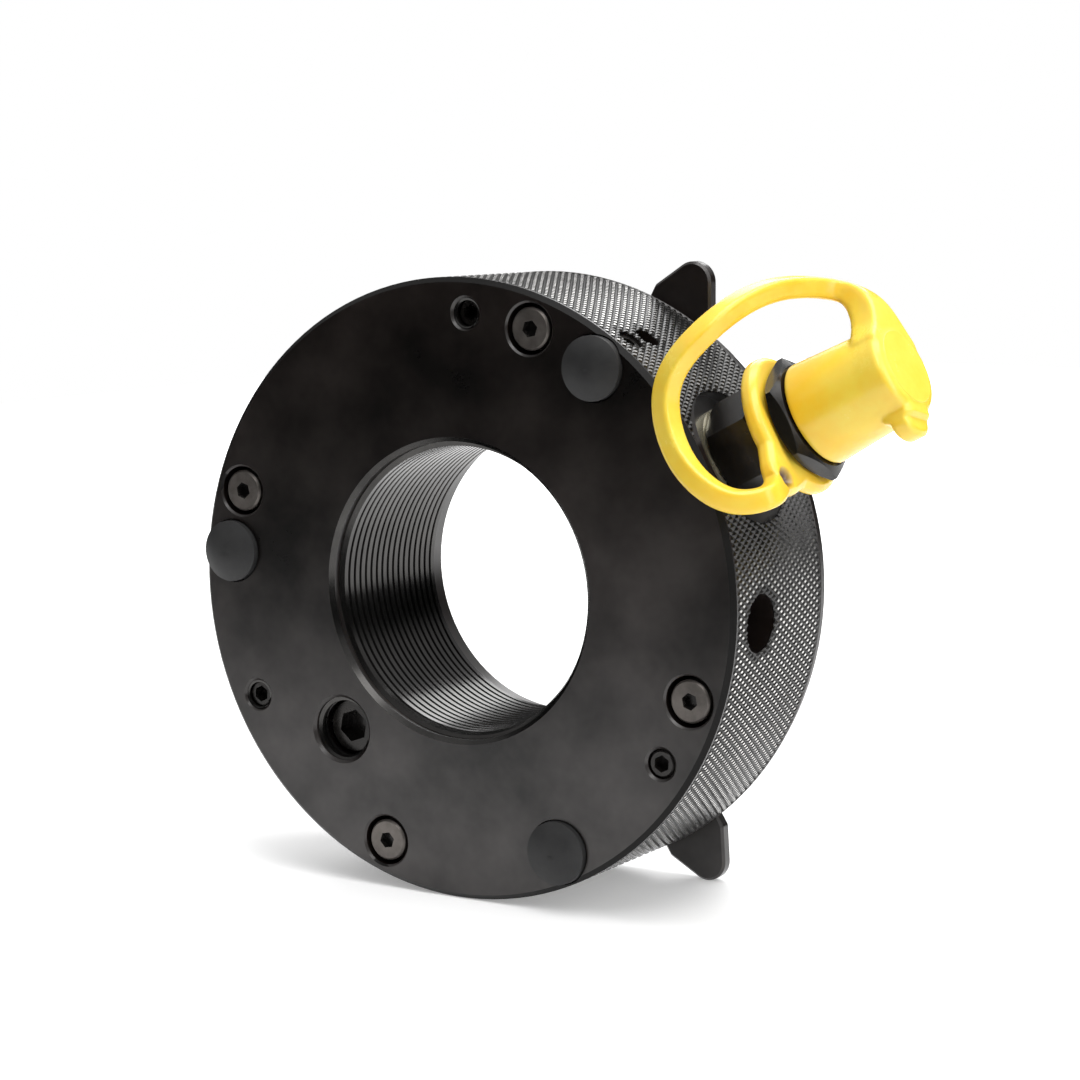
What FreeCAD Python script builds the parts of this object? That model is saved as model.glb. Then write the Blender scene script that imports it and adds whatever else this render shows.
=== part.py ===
import FreeCAD, Part
import math
import os

# Hydraulic nut, millimetres. The nut axis runs along Y, the front face looks to -Y and Z is up.
# The origin is on the nut axis, halfway along the threaded body.

os.makedirs("parts", exist_ok=True)

V = FreeCAD.Vector

# Clearances
FIT = 0.02            # radial, screw in its thread or seal on its wall
RUN = 0.05            # radial, piston in its chamber
FREE = 0.3            # between pieces that must not touch
THREAD_CREST = 0.3    # plate bore over the mating thread

# Threaded body
BORE_R = 30.0
RIM_DEPTH = 32.5      # bore to rim
NUT_R = BORE_R + RIM_DEPTH
BODY_LEN = 38.5
BORE_CHAMFER = 0.9
FRONT_CHAMFER = 1.0
REAR_CHAMFER = 0.6
LAND = 0.4            # plain rim on each side of the knurl
KNURL_DEPTH = 0.5
EDGE = 0.4            # broken edge of a hole or groove

# Pressure chamber, open to the rear
CHAMBER_WALL = 4.8    # between bore and chamber
SCREW_WALL = 2.0      # between chamber and counterbores
CHAMBER_DEPTH = 13.0
OIL_GAP = 1.5         # oil space ahead of the piston at rest
PISTON_LEAD = 0.6
GROOVE_SHARE = 0.22   # seal groove depth over the chamber's width
GROOVE_SETBACK = 2.6
SEAL_LEN = 3.4
BACKUP_LEN = 1.7
SEAL_LIP = 0.4        # how far the seal draws in from the wall behind its lip
SEAL_NOTCH = 1.6      # depth of the V between the lips

# Thrust plate with three ears
PLATE_INSET = 1.0     # plate rim inside the body rim
PLATE_THK = 3.0
PLATE_CHAMFER = 0.5
EAR_COUNT = 3
EAR_ANGLE = 62.1
EAR_PROUD = 11.5      # plate rim to the tip
EAR_TIP_R = 4.2
EAR_SHOULDER = 2.8    # plate rim to the shoulders
EAR_HALF_WIDTH = 7.2
EAR_CORNER_R = 1.5
EAR_ROOT = 4.0        # how far the ear laps onto the plate

# One pitch circle carries the return screws, feet and face screws
PITCH_INSET = 7.0
PITCH_R = NUT_R - PITCH_INSET

RETURN_COUNT = 4
RETURN_ANGLE = 72.0
RETURN_THREAD = 5.0
RETURN_HEAD = 8.5
RETURN_HEAD_LEN = 3.5
RETURN_KEY = 3.0
RETURN_SUNK = 0.4
RETURN_BORE = 10.2
RETURN_BORE_DEPTH = 24.0
RETURN_SHANK_HOLE = 5.6
RETURN_WIRE = 1.5
RETURN_COILS = 5.5
COIL_STEPS = 10       # facets per turn of a spring
WIRE_SIDES = 4

FOOT_COUNT = 3
FOOT_ANGLE = 55.4
FOOT_R = 6.35
FOOT_SEAT = 3.4
FOOT_PROUD = 3.0
FOOT_SKIRT = 1.1      # straight part above the face

FACE_SCREW_COUNT = 3
FACE_SCREW_ANGLE = 87.4
FACE_SCREW = 6.0
FACE_SCREW_LEN = 8.0
FACE_SCREW_KEY = 3.0
FACE_SCREW_MOUTH = 7.0
FACE_HOLE_DEPTH = 14.0
FACE_SCREW_SUNK = (2.0, 1.2, 0.5)
SOCKET_SHARE = 0.5    # socket depth over thread size
LEAD_SHARE = 0.1      # end chamfer over thread size
DRILL_POINT = 31.0    # slope of a drilled floor

# Two tapped holes in the rim, one behind the other
SIDE_SCREW_ANGLE = 55.0
SIDE_SCREW = 5.0
SIDE_SCREW_LEN = 6.0
SIDE_SCREW_KEY = 2.5
SIDE_HOLE_DEPTH = 13.0
SIDE_HOLE_SET = 7.3   # front face to the first hole
SIDE_HOLE_PITCH = 6.6
SIDE_SCREW_SUNK = (0.9, 3.0)

# Tommy bar holes
TOMMY_COUNT = 3
TOMMY_ANGLE = -2.6
TOMMY_R = 5.7
TOMMY_SET = 11.5
TOMMY_DEPTH = 12.0

# Oil ports
PORT_R = 6.58
PORT_CHAMFER = 0.6
OIL_WAY_R = 2.5
FRONT_PORT_ANGLE = 227.6
FRONT_PORT_DEPTH = 13.7
PLUG_LEN = 8.0
PLUG_KEY = 6.0
PLUG_ANGLE = 20.0
PLUG_WASHER_THK = 1.3
PLUG_WASHER_WEB = 3.08
SIDE_PORT_ANGLE = 27.9
SIDE_PORT_SET = 17.5
SIDE_PORT_DEPTH = 13.5
SPOT_R = 14.0
SPOT_DEPTH = 4.0      # below the crest of the rim

# Sealing washer under the adapter
WASHER_R = 10.3
WASHER_WEB_R = 7.7
WASHER_THK = 2.0
WASHER_LIP = 0.8
WASHER_LIP_SLOPE = 0.3

# Port adapter, stacked outwards along the side port
ADAPTER_AF = 19.0
ADAPTER_LEN = 10.7
ADAPTER_STUD = 12.0
ADAPTER_ANGLE = 66.0
STUD_RELIEF = 1.0
RELIEF_LEN = 1.9
STUD_LEAD = 0.8
PORT_CONE = 1.5       # drilled slope at the bottom of the adapter's port
SEAL_POCKET_R = 7.7
ORING_R = 0.9

# Quick coupling nipple
NECK_R = 8.6
NECK_LEN = 4.6
HEX_AF = 22.0
HEX_LEN = 3.5
HEX_FACE_SHARE = 0.96  # turned face over the width across flats
HEX_CHAMFER = 30.0
NOSE_LEN = 15.7
NOSE_BASE_R = 8.0
NOSE_LOCK_DEPTH = 1.2
NOSE_LOCK_R = NOSE_BASE_R - NOSE_LOCK_DEPTH
NOSE_TIP_DEPTH = 0.2
NOSE_TIP_R = NOSE_BASE_R - NOSE_TIP_DEPTH
NOSE_STEP = 0.5       # shoulder at the foot of the nose
LOCK_SET = (3.0, 4.2, 7.2, 8.2)
TIP_CHAMFER = (0.9, 1.2)
RETAINER_SET = 0.8    # retainer seat above the adapter
NIPPLE_STUD = 9.0
VALVE_BORE_R = 4.6
VALVE_MOUTH_R = 3.2
VALVE_PIN_R = 3.0
VALVE_STEM_R = 1.6
VALVE_FLANGE_LEN = 2.3
VALVE_LEAD = 0.4
VALVE_SEAL_R = 0.6
PIN_SET = 0.2         # pin end below the nose face
VALVE_WIRE = 0.7
VALVE_COILS = 5.5
SEAT_DEPTH = 3.0
SEAL_ROOM = 0.7
RETAINER_LEN = 3.0
RETAINER_NOTCH_R = 0.9

# Dust cap, strap and tether ring
MOULD_THK = 3.9
MOULD_EDGE = 1.1
CROWN_THK = 6.4
RING_OUT_R = 13.7
LUG_ANGLE = 125.0
LUG_REACH = 20.0
LUG_MARK_R = 1.2
LUG_MARK_SET = 17.0
CAP_OPEN_R = 10.4
CAP_END_R = 9.5
CAP_LEN = 20.9
CAP_DISC_R = 7.6
CAP_DISC_PROUD = 0.2
STRAP_EXIT = -12.0
STRAP_REACH = 14.5
STRAP_WIDTH = 6.0
STRAP_CORNER = 0.88
LUG_ROOT = (8.0, 8.0)
LUG_FLARE = (16.6, 4.3)
LUG_MARK_DEPTH = 1.2
TONGUE_ROOT = (3.0, 8.8)
TONGUE_FLARE = (10.6, 5.4)
TAB_ANGLE = 165.0
TAB_REACH = 15.3
TAB_R = 4.3
# Strap between lug and cap: along the port from the ring, across, and towards the front
STRAP_ROUTE = (
    (-0.6, -13.0, 19.6),
    (-4.5, -11.6, 24.0),
    (-8.9, -5.2, 26.6),
    (-11.3, 4.5, 25.8),
    (-8.0, 14.5, 23.3),
    (0.5, 21.0, 19.5),
    (10.5, 23.3, 12.5),
    (19.0, 21.5, 5.0),
    (23.9, 18.0, -2.2),
)
STRAP_STATIONS = 22

# Places worked out from the sizes above
FRONT = -BODY_LEN / 2
REAR = BODY_LEN / 2
PLATE_REAR = REAR + PLATE_THK
PLATE_R = NUT_R - PLATE_INSET
EAR_REACH = PLATE_R + EAR_PROUD
EAR_SHOULDER_R = PLATE_R + EAR_SHOULDER
PLATE_BORE_R = BORE_R + THREAD_CREST
CHAMBER_FLOOR = REAR - CHAMBER_DEPTH
PISTON_FRONT = CHAMBER_FLOOR + OIL_GAP
GROOVE_FRONT = PISTON_FRONT + GROOVE_SETBACK
GROOVE_REAR = GROOVE_FRONT + SEAL_LEN + BACKUP_LEN + 3 * RUN
CHAMBER_IN_R = BORE_R + CHAMBER_WALL
CHAMBER_OUT_R = PITCH_R - RETURN_BORE / 2 - SCREW_WALL
CHAMBER_MID_R = (CHAMBER_IN_R + CHAMBER_OUT_R) / 2
GROOVE_DEPTH = GROOVE_SHARE * (CHAMBER_OUT_R - CHAMBER_IN_R)
SIDE_PORT_Y = FRONT + SIDE_PORT_SET

SPOT_FLOOR = NUT_R - SPOT_DEPTH
ADAPTER_BASE = SPOT_FLOOR + WASHER_THK
ADAPTER_TOP = ADAPTER_BASE + ADAPTER_LEN
NECK_TOP = ADAPTER_TOP + NECK_LEN
HEX_TOP = NECK_TOP + HEX_LEN
NOSE_TOP = HEX_TOP + NOSE_LEN
NIPPLE_BASE = ADAPTER_TOP - NIPPLE_STUD
SEAT_BASE = NOSE_TOP - SEAT_DEPTH - (VALVE_BORE_R - VALVE_MOUTH_R)
RETAINER_BASE = ADAPTER_TOP + RETAINER_SET
FLANGE_TOP = SEAT_BASE - SEAL_ROOM
FLANGE_BASE = FLANGE_TOP - VALVE_FLANGE_LEN
RING_MID = (ADAPTER_TOP + NECK_TOP) / 2
CAP_BASE = HEX_TOP + FREE
CAP_TOP = CAP_BASE + CAP_LEN
CAP_WEB_MID = CAP_TOP - MOULD_THK / 2


def polar(radius, degrees, y=0.0):
    """Point at a radius and angle round the nut axis, seen from the front."""
    a = math.radians(degrees)
    return V(radius * math.cos(a), y, radius * math.sin(a))


def around(count, first):
    return [first + 360.0 / count * i for i in range(count)]


def turned(points):
    """Solid of revolution about the nut axis from (radius, y) points."""
    wire = Part.makePolygon([V(r, y, 0) for r, y in points] + [V(points[0][0], points[0][1], 0)])
    return Part.Face(wire).revolve(V(0, 0, 0), V(0, 1, 0), 360)


def lathe(points):
    """Solid of revolution about local Z from (radius, z) points."""
    wire = Part.makePolygon([V(r, 0, z) for r, z in points] + [V(points[0][0], 0, points[0][1])])
    return Part.Face(wire).revolve(V(0, 0, 0), V(0, 0, 1), 360)


def hole(angle, radius, y0, y1, r):
    """Cylinder parallel to the nut axis."""
    return Part.makeCylinder(r, y1 - y0, polar(radius, angle, y0), V(0, 1, 0))


def mouth(angle, radius, r, chamfer):
    """Chamfer cutter for a hole in the front face."""
    return Part.makeCone(r + chamfer, r, chamfer, polar(radius, angle, FRONT), V(0, 1, 0))


def hexagon(af, z0, z1, turn=0.0):
    """Hexagonal prism on local Z, a corner at the given angle."""
    corner = af / math.sqrt(3)
    ring = [math.radians(turn + 60 * i) for i in range(7)]
    wire = Part.makePolygon([V(corner * math.cos(a), corner * math.sin(a), z0) for a in ring])
    return Part.Face(wire).extrude(V(0, 0, z1 - z0))


def wrench_hex(af, z0, z1, turn=0.0):
    """Hexagon with both ends turned down to a 30 degree chamfer."""
    corner = af / math.sqrt(3)
    face = af / 2 * HEX_FACE_SHARE
    drop = (corner - face) * math.tan(math.radians(HEX_CHAMFER))
    blank = lathe([(0, z0), (face, z0), (corner, z0 + drop), (corner, z1 - drop), (face, z1), (0, z1)])
    return hexagon(af, z0, z1, turn).common(blank)


def coil(mean_r, wire, length, coils):
    """Compression spring on local Z, from 0 to length, of faceted wire."""
    rise = length - wire
    steps = int(round(coils * COIL_STEPS))
    sections = []
    for i in range(steps + 1):
        a = 2 * math.pi * coils * i / steps
        out = V(math.cos(a), math.sin(a), 0)
        z = wire / 2 + rise * i / steps
        ring = [2 * math.pi / WIRE_SIDES * k for k in range(WIRE_SIDES + 1)]
        offsets = [out * (mean_r + wire / 2 * math.cos(b)) + V(0, 0, z + wire / 2 * math.sin(b)) for b in ring]
        sections.append(Part.makePolygon(offsets))
    return Part.makeLoft(sections, True, True)


def o_ring(mean_r, r, z):
    """O-ring about local Z with a six-sided section."""
    ring = [math.radians(30 + 60 * k) for k in range(6)]
    return lathe([(mean_r + r * math.cos(b), z + r * math.sin(b)) for b in ring])


def set_screw(dia, length, key, socket):
    """Headless socket screw on local Z, its socket at z = 0 and its body towards -Z."""
    r = dia / 2 - FIT
    lead = dia * LEAD_SHARE
    body = lathe([(0, 0), (r - lead, 0), (r, -lead), (r, lead - length), (r - lead, -length), (0, -length)])
    return body.cut(hexagon(key, -socket, 1))


def aim(shape, base, direction, turn=0.0):
    """Move a shape made on local Z so that Z points along a direction from a base point."""
    spin = FreeCAD.Rotation(V(0, 0, 1), turn)
    move = FreeCAD.Placement(base, FreeCAD.Rotation(V(0, 0, 1), direction).multiply(spin))
    return shape.transformed(move.toMatrix())


def on_port(shape):
    """Move a shape from port coordinates to the part: local X is up the rim, Y to the front, Z outwards."""
    a = math.radians(SIDE_PORT_ANGLE)
    up = V(-math.sin(a), 0, math.cos(a))
    front = V(0, -1, 0)
    out = V(math.cos(a), 0, math.sin(a))
    move = FreeCAD.Placement(V(0, SIDE_PORT_Y, 0), FreeCAD.Rotation(up, front, out, "ZXY"))
    return shape.transformed(move.toMatrix())


def nut_body():
    root = NUT_R - KNURL_DEPTH
    front_land = FRONT + FRONT_CHAMFER + LAND
    rear_land = REAR - REAR_CHAMFER - LAND
    body = turned([
        (BORE_R + BORE_CHAMFER, FRONT),
        (NUT_R - FRONT_CHAMFER, FRONT),
        (NUT_R, FRONT + FRONT_CHAMFER),
        (NUT_R, front_land),
        (root, front_land + KNURL_DEPTH),
        (root, rear_land - KNURL_DEPTH),
        (NUT_R, rear_land),
        (NUT_R, REAR - REAR_CHAMFER),
        (NUT_R - REAR_CHAMFER, REAR),
        (BORE_R + EDGE, REAR),
        (BORE_R, REAR - EDGE),
        (BORE_R, FRONT + BORE_CHAMFER),
    ])
    cuts = [turned([
        (CHAMBER_IN_R, CHAMBER_FLOOR),
        (CHAMBER_OUT_R, CHAMBER_FLOOR),
        (CHAMBER_OUT_R, REAR - EDGE),
        (CHAMBER_OUT_R + EDGE, REAR),
        (CHAMBER_IN_R - EDGE, REAR),
        (CHAMBER_IN_R, REAR - EDGE),
    ])]
    for a in around(RETURN_COUNT, RETURN_ANGLE):
        cuts.append(hole(a, PITCH_R, FRONT, FRONT + RETURN_BORE_DEPTH, RETURN_BORE / 2))
        cuts.append(mouth(a, PITCH_R, RETURN_BORE / 2, EDGE))
        cuts.append(hole(a, PITCH_R, FRONT, REAR, RETURN_SHANK_HOLE / 2))
    for a in around(FOOT_COUNT, FOOT_ANGLE):
        cuts.append(hole(a, PITCH_R, FRONT, FRONT + FOOT_SEAT, FOOT_R + FREE))
    for a in around(FACE_SCREW_COUNT, FACE_SCREW_ANGLE):
        cuts.append(hole(a, PITCH_R, FRONT, FRONT + FACE_HOLE_DEPTH, FACE_SCREW / 2))
        cuts.append(mouth(a, PITCH_R, FACE_SCREW / 2, (FACE_SCREW_MOUTH - FACE_SCREW) / 2))
    for a in around(TOMMY_COUNT, TOMMY_ANGLE):
        cuts.append(rim_hole(a, FRONT + TOMMY_SET, TOMMY_R, TOMMY_DEPTH))
    for i in range(2):
        y = FRONT + SIDE_HOLE_SET + SIDE_HOLE_PITCH * i
        cuts.append(rim_hole(SIDE_SCREW_ANGLE, y, SIDE_SCREW / 2, SIDE_HOLE_DEPTH))
    cuts.append(front_port())
    cuts.append(side_port())
    for c in cuts:
        body = body.cut(c)
    return body


def rim_hole(angle, y, r, depth):
    """Drilled hole from the rim towards the nut axis, with its drill point."""
    tip = r * math.tan(math.radians(DRILL_POINT))
    top = NUT_R + 1
    floor = NUT_R - depth
    drill = lathe([(0, floor - tip), (r, floor), (r, top), (0, top)])
    return aim(drill, V(0, y, 0), polar(1, angle))


def front_port():
    port = hole(FRONT_PORT_ANGLE, CHAMBER_MID_R, FRONT, FRONT + FRONT_PORT_DEPTH, PORT_R)
    port = port.fuse(mouth(FRONT_PORT_ANGLE, CHAMBER_MID_R, PORT_R, PORT_CHAMFER))
    return port.fuse(hole(FRONT_PORT_ANGLE, CHAMBER_MID_R, FRONT, CHAMBER_FLOOR + 1, OIL_WAY_R))


def side_port():
    floor = SPOT_FLOOR - SIDE_PORT_DEPTH
    port = lathe([
        (0, floor),
        (PORT_R, floor),
        (PORT_R, SPOT_FLOOR - PORT_CHAMFER),
        (PORT_R + PORT_CHAMFER, SPOT_FLOOR),
        (SPOT_R, SPOT_FLOOR),
        (SPOT_R, NUT_R + 1),
        (0, NUT_R + 1),
    ])
    way_r = OIL_WAY_R / 2
    way = hole(SIDE_PORT_ANGLE, floor + way_r + EDGE, SIDE_PORT_Y, CHAMBER_FLOOR + 1, way_r)
    return on_port(port).fuse(way)


def annular_piston():
    out_r = CHAMBER_OUT_R - RUN
    in_r = CHAMBER_IN_R + RUN
    return turned([
        (in_r + PISTON_LEAD, PISTON_FRONT),
        (out_r - PISTON_LEAD, PISTON_FRONT),
        (out_r, PISTON_FRONT + PISTON_LEAD),
        (out_r, GROOVE_FRONT),
        (out_r - GROOVE_DEPTH, GROOVE_FRONT),
        (out_r - GROOVE_DEPTH, GROOVE_REAR),
        (out_r, GROOVE_REAR),
        (out_r, REAR),
        (in_r, REAR),
        (in_r, GROOVE_REAR),
        (in_r + GROOVE_DEPTH, GROOVE_REAR),
        (in_r + GROOVE_DEPTH, GROOVE_FRONT),
        (in_r, GROOVE_FRONT),
        (in_r, PISTON_FRONT + PISTON_LEAD),
    ])


def lip_seal(wall_r, groove_r):
    """U-section seal between a chamber wall and a piston groove, its lips to the oil side."""
    step = math.copysign(1, wall_r - groove_r)
    wall = wall_r - step * FIT
    root = groove_r + step * FIT
    mid = (wall + root) / 2
    lip = step * SEAL_LIP
    y0 = GROOVE_FRONT + RUN
    y1 = y0 + SEAL_LEN
    return turned([
        (root, y0),
        (mid, y0 + SEAL_NOTCH),
        (wall, y0),
        (wall - lip, y1),
        (root, y1),
    ])


def backup_ring(wall_r, groove_r):
    step = math.copysign(1, wall_r - groove_r)
    y0 = GROOVE_FRONT + 2 * RUN + SEAL_LEN
    wall = wall_r - step * RUN
    root = groove_r + step * FIT
    return turned([(root, y0), (wall, y0), (wall, y0 + BACKUP_LEN), (root, y0 + BACKUP_LEN)])


def thrust_plate():
    plate = turned([
        (PLATE_BORE_R, REAR),
        (PLATE_R - PLATE_CHAMFER, REAR),
        (PLATE_R, REAR + PLATE_CHAMFER),
        (PLATE_R, PLATE_REAR - PLATE_CHAMFER),
        (PLATE_R - PLATE_CHAMFER, PLATE_REAR),
        (PLATE_BORE_R + EDGE, PLATE_REAR),
        (PLATE_BORE_R, PLATE_REAR - EDGE),
    ])
    for a in around(EAR_COUNT, EAR_ANGLE):
        plate = plate.fuse(ear().rotate(V(0, 0, 0), V(0, 1, 0), -a))
    for a in around(RETURN_COUNT, RETURN_ANGLE):
        plate = plate.cut(hole(a, PITCH_R, REAR, PLATE_REAR, RETURN_THREAD / 2))
    return plate.removeSplitter()


def ear():
    """Flat ear along +X: square shoulders, sides drawn in to a round tip."""
    centre = EAR_REACH - EAR_TIP_R
    back = centre - EAR_SHOULDER_R
    span = math.hypot(back, EAR_HALF_WIDTH)
    touch = math.atan2(EAR_HALF_WIDTH, -back) - math.acos(EAR_TIP_R / span)
    tx = centre + EAR_TIP_R * math.cos(touch)
    tz = EAR_TIP_R * math.sin(touch)
    root = PLATE_R - EAR_ROOT
    p = [
        V(root, REAR, -EAR_HALF_WIDTH),
        V(EAR_SHOULDER_R, REAR, -EAR_HALF_WIDTH),
        V(tx, REAR, -tz),
        V(tx, REAR, tz),
        V(EAR_SHOULDER_R, REAR, EAR_HALF_WIDTH),
        V(root, REAR, EAR_HALF_WIDTH),
    ]
    tip = Part.Arc(p[2], V(EAR_REACH, REAR, 0), p[3]).toShape()
    sides = [Part.makeLine(p[0], p[1]), Part.makeLine(p[1], p[2]), tip]
    sides += [Part.makeLine(p[3], p[4]), Part.makeLine(p[4], p[5]), Part.makeLine(p[5], p[0])]
    flat = Part.Face(Part.Wire(sides)).extrude(V(0, PLATE_THK, 0))
    corners = []
    for e in flat.Edges:
        across = abs(e.Vertexes[0].Y - e.Vertexes[-1].Y)
        at_shoulder = abs(e.Vertexes[0].X - EAR_SHOULDER_R) < 1e-3
        if across > 1e-3 and at_shoulder:
            corners.append(e)
    flat = flat.makeFillet(EAR_CORNER_R, corners)
    rim = [e for e in flat.Edges if abs(e.BoundBox.YLength) < 1e-3 and e.BoundBox.XMax > root + 0.1]
    return flat.makeChamfer(PLATE_CHAMFER, rim)


def return_screw():
    """Low head socket screw on local Z, its head face at z = 0 and its shank towards -Z."""
    head_r = RETURN_HEAD / 2
    shank_r = RETURN_THREAD / 2 - FIT
    length = BODY_LEN + PLATE_THK - RETURN_SUNK - FREE
    screw = lathe([
        (0, 0),
        (head_r - EDGE, 0),
        (head_r, -EDGE),
        (head_r, -RETURN_HEAD_LEN),
        (shank_r, -RETURN_HEAD_LEN),
        (shank_r, EDGE - length),
        (shank_r - EDGE, -length),
        (0, -length),
    ])
    return screw.cut(hexagon(RETURN_KEY, -RETURN_HEAD_LEN * SOCKET_SHARE, 1))


def return_screws():
    made = return_screw()
    y = FRONT + RETURN_SUNK
    places = around(RETURN_COUNT, RETURN_ANGLE)
    return Part.makeCompound([aim(made, polar(PITCH_R, a, y), V(0, -1, 0), a) for a in places])


def return_springs():
    start = FRONT + RETURN_SUNK + RETURN_HEAD_LEN + FIT
    length = FRONT + RETURN_BORE_DEPTH - FIT - start
    mean_r = (RETURN_HEAD - RETURN_WIRE) / 2
    made = coil(mean_r, RETURN_WIRE, length, RETURN_COILS)
    places = around(RETURN_COUNT, RETURN_ANGLE)
    return Part.makeCompound([aim(made, polar(PITCH_R, a, start), V(0, 1, 0)) for a in places])


def rubber_feet():
    """Domed bumpers seated in flat recesses of the front face."""
    seat = FRONT + FOOT_SEAT
    skirt = FRONT - FOOT_SKIRT
    top = FRONT - FOOT_PROUD
    rise = skirt - top
    sphere = (FOOT_R ** 2 + rise ** 2) / (2 * rise)
    half = FOOT_R / 2
    bulge = V(half, top + sphere - math.sqrt(sphere ** 2 - half ** 2), 0)
    dome = Part.Arc(V(FOOT_R, skirt, 0), bulge, V(0, top, 0)).toShape()
    base = Part.makePolygon([V(0, top, 0), V(0, seat, 0), V(FOOT_R, seat, 0), V(FOOT_R, skirt, 0)])
    foot = Part.Face(Part.Wire(base.Edges + [dome])).revolve(V(0, 0, 0), V(0, 1, 0), 360)
    feet = []
    for a in around(FOOT_COUNT, FOOT_ANGLE):
        one = foot.copy()
        one.translate(polar(PITCH_R, a))
        feet.append(one)
    return Part.makeCompound(feet)


def face_set_screws():
    made = set_screw(FACE_SCREW, FACE_SCREW_LEN, FACE_SCREW_KEY, FACE_SCREW * SOCKET_SHARE)
    screws = []
    for a, sunk in zip(around(FACE_SCREW_COUNT, FACE_SCREW_ANGLE), FACE_SCREW_SUNK):
        screws.append(aim(made, polar(PITCH_R, a, FRONT + sunk), V(0, -1, 0), a))
    return Part.makeCompound(screws)


def side_set_screws():
    made = set_screw(SIDE_SCREW, SIDE_SCREW_LEN, SIDE_SCREW_KEY, SIDE_SCREW * SOCKET_SHARE)
    screws = []
    for i, sunk in enumerate(SIDE_SCREW_SUNK):
        y = FRONT + SIDE_HOLE_SET + SIDE_HOLE_PITCH * i
        screws.append(aim(made, polar(NUT_R - sunk, SIDE_SCREW_ANGLE, y), polar(1, SIDE_SCREW_ANGLE)))
    return Part.makeCompound(screws)


def plug_face():
    return FRONT + FRONT_PORT_DEPTH - FIT - PLUG_WASHER_THK - PLUG_LEN


def port_plug():
    made = set_screw(PORT_R * 2, PLUG_LEN, PLUG_KEY, PLUG_LEN * SOCKET_SHARE)
    return aim(made, polar(CHAMBER_MID_R, FRONT_PORT_ANGLE, plug_face()), V(0, -1, 0), PLUG_ANGLE)


def plug_washer():
    start = plug_face() + PLUG_LEN
    outer = PORT_R - FREE
    ring = lathe([
        (outer - PLUG_WASHER_WEB, 0),
        (outer, 0),
        (outer, PLUG_WASHER_THK),
        (outer - PLUG_WASHER_WEB, PLUG_WASHER_THK),
    ])
    return aim(ring, polar(CHAMBER_MID_R, FRONT_PORT_ANGLE, start), V(0, 1, 0))


def port_washer():
    z1 = SPOT_FLOOR + WASHER_THK
    return on_port(lathe([
        (WASHER_WEB_R, SPOT_FLOOR),
        (WASHER_R, SPOT_FLOOR),
        (WASHER_R, z1),
        (WASHER_WEB_R, z1),
    ]))


def washer_seal():
    """Rubber lip bonded inside the washer."""
    z0 = SPOT_FLOOR + FIT
    z1 = SPOT_FLOOR + WASHER_THK - FIT
    lip = WASHER_WEB_R - WASHER_LIP
    return on_port(lathe([
        (WASHER_WEB_R, z0 + WASHER_LIP_SLOPE),
        (WASHER_WEB_R, z1 - WASHER_LIP_SLOPE),
        (lip + WASHER_LIP_SLOPE, z1),
        (lip, (z0 + z1) / 2),
        (lip + WASHER_LIP_SLOPE, z0),
    ]))


def port_adapter():
    """Hexagon with a male stud into the nut and a female port for the nipple."""
    stud_r = PORT_R - FIT
    relief = stud_r - STUD_RELIEF
    stud_end = SPOT_FLOOR - ADAPTER_STUD
    stud = lathe([
        (0, stud_end),
        (stud_r - STUD_LEAD, stud_end),
        (stud_r, stud_end + STUD_LEAD),
        (stud_r, ADAPTER_BASE - RELIEF_LEN),
        (relief, ADAPTER_BASE - RELIEF_LEN + EDGE),
        (relief, ADAPTER_BASE + 1),
        (0, ADAPTER_BASE + 1),
    ])
    port_floor = NIPPLE_BASE - FREE
    cavity = lathe([
        (0, stud_end - 1),
        (OIL_WAY_R, stud_end - 1),
        (OIL_WAY_R, port_floor - PORT_CONE),
        (PORT_R, port_floor),
        (PORT_R, ADAPTER_TOP - 2 * ORING_R - 2 * RUN),
        (SEAL_POCKET_R, ADAPTER_TOP - 2 * ORING_R - 2 * RUN),
        (SEAL_POCKET_R, ADAPTER_TOP + 1),
        (0, ADAPTER_TOP + 1),
    ])
    adapter = wrench_hex(ADAPTER_AF, ADAPTER_BASE, ADAPTER_TOP, ADAPTER_ANGLE).fuse(stud)
    return on_port(adapter.cut(cavity).removeSplitter())


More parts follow.
